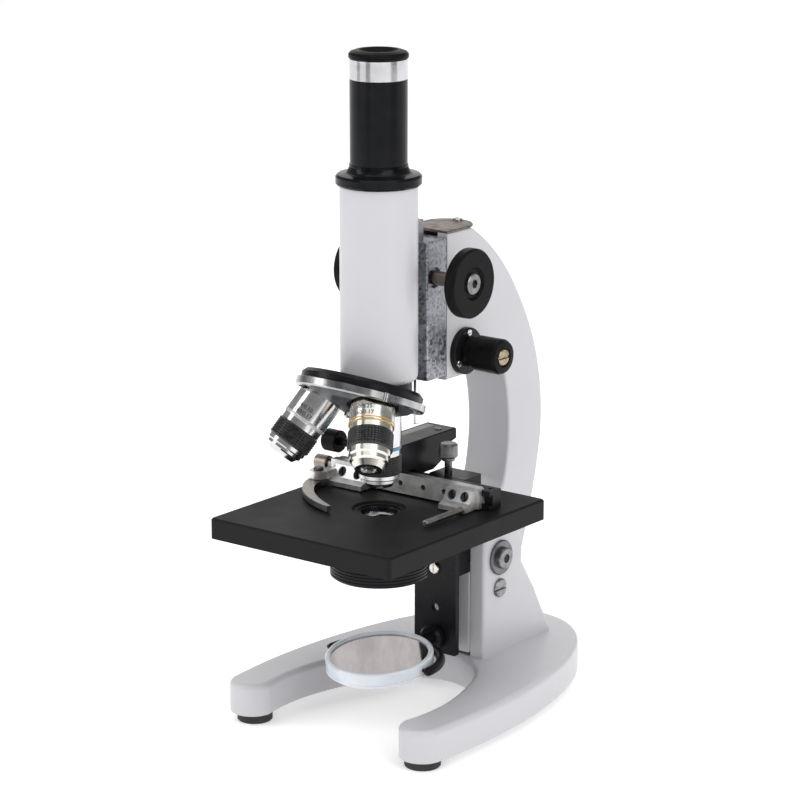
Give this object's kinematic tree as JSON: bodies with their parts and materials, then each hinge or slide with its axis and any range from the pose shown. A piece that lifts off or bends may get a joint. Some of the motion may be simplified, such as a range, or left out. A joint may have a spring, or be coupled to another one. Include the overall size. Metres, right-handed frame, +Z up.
{
  "type": "microscope",
  "caption": "Student microscope with a tilting C-shaped arm, coarse and fine focus, a turret of objectives, a square stage with a slide holder, and a swivelling mirror on a horseshoe base.",
  "frame": {"origin": "on the table, at the centre of the footprint", "axes": "+Z up, +Y from the open end of the horseshoe towards the arm, +X to the right as seen from the open end"},
  "size_m": [0.1328, 0.203, 0.336],
  "materials": {
    "white_paint": "smooth semi-gloss enamel on cast iron",
    "white_casting": "smooth semi-gloss enamel on cast aluminium",
    "black_rubber": "matte",
    "screw_steel": "bright nickel",
    "washer_steel": "grey zinc",
    "bronze_plate": "dull bronzed steel",
    "black_enamel": "satin black",
    "stage_black": "fine matte crinkle enamel on an aluminium plate",
    "lens_glass": "polished",
    "chrome": "polished",
    "mirror_plastic": "pale blue, slightly clear",
    "mirror_silver": "silvered glass",
    "grey_zinc": "mottled cast zinc",
    "bright_aluminium": "machined",
    "shaft_steel": "oiled steel",
    "black_plastic": "satin black",
    "brass": "pale brass",
    "dark_metal": "dark satin",
    "band_colours": "enamel bands, one colour for each objective",
    "black_grip": "knurled black",
    "holder_steel": "satin nickel"
  },
  "bodies": {
    "stand": {"base_casting": "white_paint", "pillar": "white_paint", "rubber_feet": "black_rubber", "base_screws": "screw_steel", "pivot_bolt": "screw_steel", "pivot_washers": "washer_steel", "tension_screws": "screw_steel"},
    "arm": {"arm_casting": "white_casting", "cover_plate": "bronze_plate", "arm_screws": "screw_steel", "fine_flanges": "black_enamel", "stage_plate": "stage_black", "stage_bracket": "black_enamel", "mirror_bar": "black_enamel", "condenser_sleeve": "black_enamel", "condenser_mount": "black_enamel", "condenser_lens": "lens_glass", "holder_bracket": "black_enamel", "stage_bar": "black_enamel"},
    "thumbscrew": {"thumbscrew": "chrome"},
    "iris": {"iris_ring": "black_enamel", "iris_lever": "chrome"},
    "fork": {"mirror_fork": "black_enamel"},
    "mirror": {"mirror_frame": "mirror_plastic", "mirror_glasses": "mirror_silver", "mirror_pivots": "screw_steel"},
    "focus_block": {"focus_block": "grey_zinc", "stop_rod": "chrome"},
    "coarse_drive": {"coarse_shaft": "shaft_steel", "coarse_knobs": "black_plastic", "coarse_screws": "screw_steel"},
    "fine_drive": {"fine_shaft": "shaft_steel", "fine_knobs": "black_plastic", "fine_screws": "brass"},
    "tube": {"body_tube": "white_casting", "tube_rail": "bright_aluminium", "coarse_rack": "brass", "tube_collar": "black_enamel", "draw_tube": "black_enamel", "nose_mount": "black_enamel", "turret_pivot": "screw_steel"},
    "eyepiece": {"eyepiece_barrel": "chrome", "eyepiece_cap": "black_plastic", "eyepiece_lenses": "lens_glass"},
    "turret": {"turret_shell": "dark_metal", "turret_rim": "chrome", "objective_high": "chrome", "objective_low": "chrome", "objective_mid": "chrome", "objective_bands": "band_colours", "objective_grips": "black_grip", "objective_lenses": "lens_glass"},
    "y_slide": {"cross_beam": "black_enamel"},
    "y_drive": {"y_knob": "black_plastic"},
    "x_drive": {"x_knob": "black_plastic"},
    "x_slide": {"holder_plate": "holder_steel", "slide_clamps": "holder_steel", "clamp_screws": "screw_steel", "slide_finger": "holder_steel"},
    "claw": {"slide_claw": "holder_steel"}
  },
  "joints": [
    {"name": "arm_tilt", "type": "hinge", "parent": "stand", "child": "arm", "pos_m": [0, 0.0329, 0.0724], "axis": [-1, 0, 0], "range_deg": [0, 45]},
    {"name": "fine_slide", "type": "slide", "parent": "arm", "child": "focus_block", "axis": [0, 0, 1], "range_m": [-0.001, 0.001]},
    {"name": "fine_turn", "type": "hinge", "parent": "arm", "child": "fine_drive", "pos_m": [0, 0.013, 0.1825], "axis": [1, 0, 0], "range_deg": [-721, 721]},
    {"name": "coarse_slide", "type": "slide", "parent": "focus_block", "child": "tube", "axis": [0, 0, 1], "range_m": [-0.008, 0.03]},
    {"name": "coarse_turn", "type": "hinge", "parent": "focus_block", "child": "coarse_drive", "pos_m": [0, -0.0113, 0.2233], "axis": [1, 0, 0], "range_deg": [-593.7, 159.1]},
    {"name": "eyepiece_lift", "type": "slide", "parent": "tube", "child": "eyepiece", "axis": [0, 0, 1], "range_m": [0, 0.025]},
    {"name": "turret_turn", "type": "hinge", "parent": "tube", "child": "turret", "pos_m": [0, -0.05406, 0.16884], "axis": [0, 0.3827, 0.9239], "continuous": true},
    {"name": "iris_turn", "type": "hinge", "parent": "arm", "child": "iris", "pos_m": [0, -0.0385, 0.083], "axis": [0, 0, 1], "range_deg": [-30, 30]},
    {"name": "fork_swivel", "type": "hinge", "parent": "arm", "child": "fork", "pos_m": [0, 0.0071, 0.033], "axis": [0, 1, 0], "range_deg": [-90, 90]},
    {"name": "mirror_tilt", "type": "hinge", "parent": "fork", "child": "mirror", "pos_m": [0, -0.0385, 0.033], "axis": [1, 0, 0], "range_deg": [-80, 80]},
    {"name": "y_travel", "type": "slide", "parent": "arm", "child": "y_slide", "axis": [0, -1, 0], "range_m": [0, 0.018]},
    {"name": "y_turn", "type": "hinge", "parent": "arm", "child": "y_drive", "pos_m": [-0.04, -0.0035, 0.1285], "axis": [1, 0, 0], "range_deg": [-1, 258.8]},
    {"name": "x_travel", "type": "slide", "parent": "y_slide", "child": "x_slide", "axis": [1, 0, 0], "range_m": [-0.012, 0.012]},
    {"name": "x_turn", "type": "hinge", "parent": "y_slide", "child": "x_drive", "pos_m": [-0.058, -0.0051, 0.1166], "axis": [1, 0, 0], "range_deg": [-865, 865]},
    {"name": "claw_swing", "type": "hinge", "parent": "x_slide", "child": "claw", "pos_m": [-0.0495, -0.0245, 0.113], "axis": [0, 0, 1], "range_deg": [-45, 0], "stiffness_Nm_per_rad": 0.02, "springref_deg": 17.19},
    {"name": "thumbscrew_turn", "type": "hinge", "parent": "arm", "child": "thumbscrew", "pos_m": [0.01, 0.0045, 0.125], "axis": [0, 0, 1], "range_deg": [0, 540]}
  ],
  "couplings": [
    {"joint": "fine_turn", "follows": "fine_slide", "rad_per_m": 12566},
    {"joint": "coarse_turn", "follows": "coarse_slide", "rad_per_m": -344.83},
    {"joint": "y_turn", "follows": "y_travel", "rad_per_m": 250},
    {"joint": "x_turn", "follows": "x_travel", "rad_per_m": 1256.6}
  ]
}
